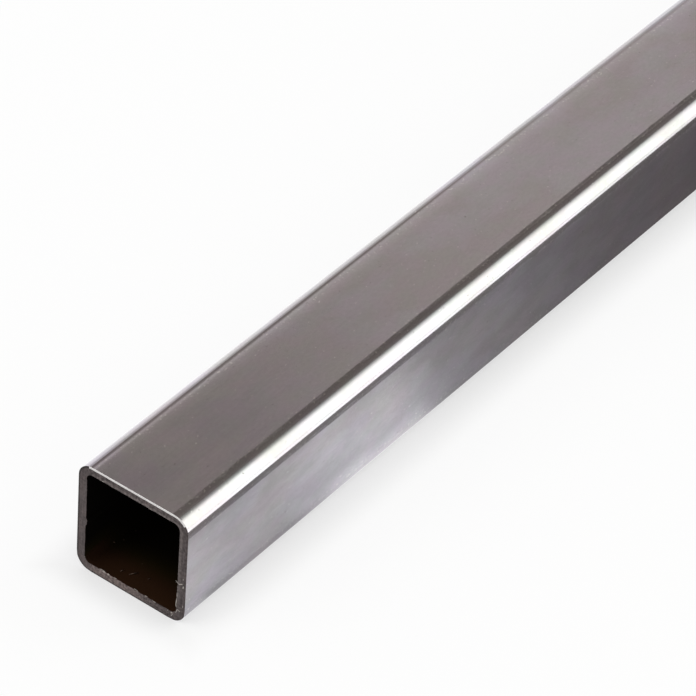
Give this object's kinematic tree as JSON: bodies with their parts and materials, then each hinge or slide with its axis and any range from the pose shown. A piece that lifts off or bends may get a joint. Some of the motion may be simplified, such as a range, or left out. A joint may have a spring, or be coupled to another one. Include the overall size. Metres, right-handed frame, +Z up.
{
  "type": "square tube",
  "caption": "Long straight length of square welded steel tube, thin-walled with rounded corners and square-sawn open ends, used for frames, legs, rails and supports.",
  "frame": {"origin": "middle of the tube's underside, half way along its length", "axes": "+Y along the bar, away from the sawn end seen in the picture; +Z up; the wall with the weld seam faces -X"},
  "size_m": [0.02, 1, 0.02],
  "materials": {
    "mill_steel": "satin mill finish, bare and lightly oiled, with faint drawing lines along the bar"
  },
  "bodies": {
    "root": {"square_tube": "mill_steel"}
  },
  "joints": []
}
